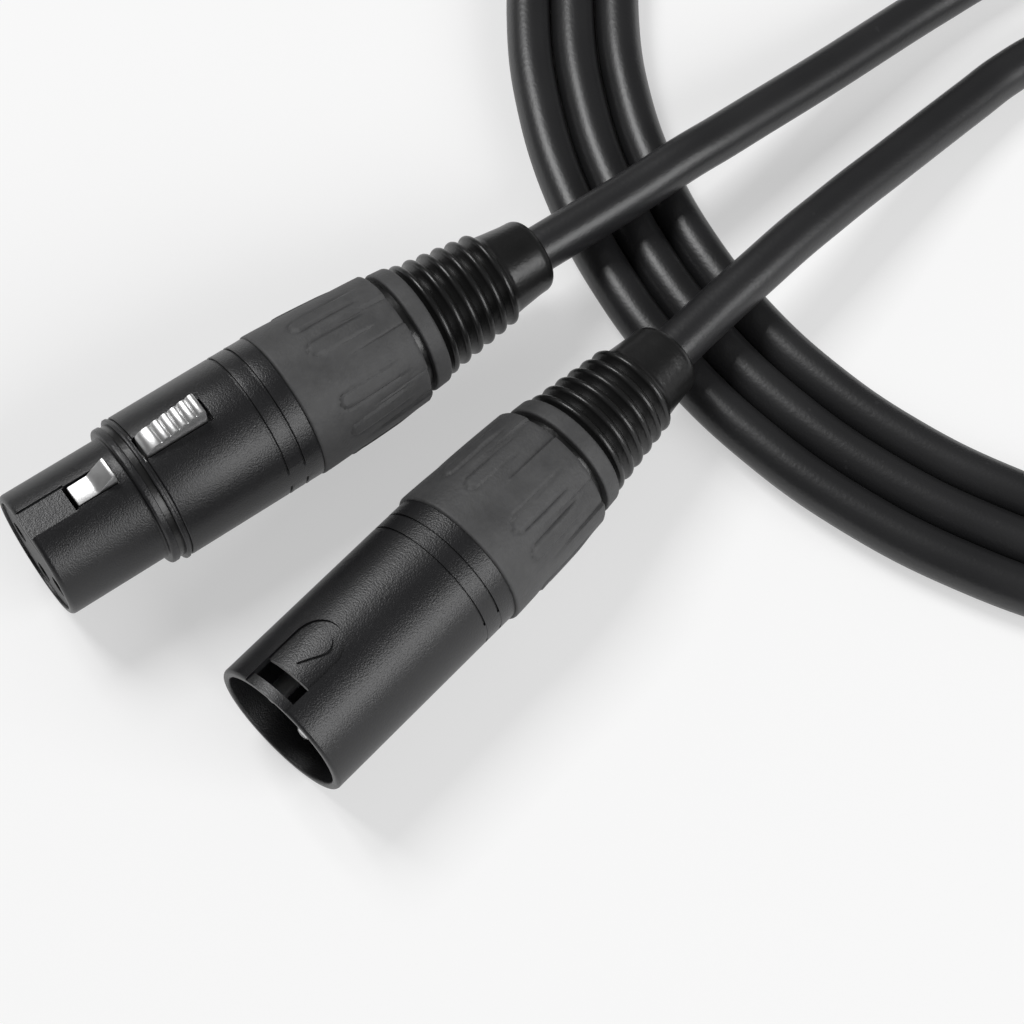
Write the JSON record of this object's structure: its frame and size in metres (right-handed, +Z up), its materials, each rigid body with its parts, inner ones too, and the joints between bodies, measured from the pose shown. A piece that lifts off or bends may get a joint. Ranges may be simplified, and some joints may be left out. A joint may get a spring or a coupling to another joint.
{
  "type": "xlr cable coil",
  "caption": "Black balanced microphone cable with a latching three-pole socket connector and a three-pole plug connector, laid in a flat oval coil.",
  "frame": {"origin": "middle of the two connectors on the surface they lie on", "axes": "+Z up, +Y along the plug connector from its mouth to its cable, +X to the right of the plug connector"},
  "size_m": [0.1581, 0.208, 0.0216],
  "materials": {
    "shell_black": "satin, fine grain",
    "seal": "matte",
    "insulator": "moulded",
    "contact_metal": "plated",
    "latch_metal": "plated, fine grain",
    "spring_steel": "bright",
    "nut_plastic": "moulded",
    "grip_rubber": "matte",
    "boot_rubber": "satin",
    "cable_jacket": "satin",
    "bare_wire": "tinned",
    "red_wire": "smooth",
    "white_wire": "smooth"
  },
  "bodies": {
    "cable": {"female_shell": "shell_black", "female_gasket": "seal", "female_insert": "insulator", "female_contact_1": "contact_metal", "female_contact_2": "contact_metal", "female_contact_3": "contact_metal", "latch_spring": "spring_steel", "latch_pin": "spring_steel", "female_ground_contact": "contact_metal", "female_chuck": "insulator", "female_back_nut": "nut_plastic", "female_grip": "grip_rubber", "female_boot": "boot_rubber", "female_wire_1": "bare_wire", "female_wire_2": "red_wire", "female_wire_3": "white_wire", "male_shell": "shell_black", "male_insert": "insulator", "male_pin_1": "contact_metal", "male_pin_2": "contact_metal", "male_pin_3": "contact_metal", "male_ground_contact": "contact_metal", "male_chuck": "insulator", "male_back_nut": "nut_plastic", "male_grip": "grip_rubber", "male_boot": "boot_rubber", "male_wire_1": "bare_wire", "male_wire_2": "red_wire", "male_wire_3": "white_wire", "male_lead": "cable_jacket", "coil": "cable_jacket", "female_lead": "cable_jacket"},
    "latch": {"latch": "latch_metal"}
  },
  "joints": [
    {"name": "latch_press", "type": "hinge", "parent": "cable", "child": "latch", "pos_m": [-0.0135, -0.00758, 0.01565], "axis": [0.9794, -0.2021, 0], "range_deg": [0, 6], "stiffness_Nm_per_rad": 0.4, "springref_deg": -2.86, "deforming": ["latch_spring"]}
  ]
}
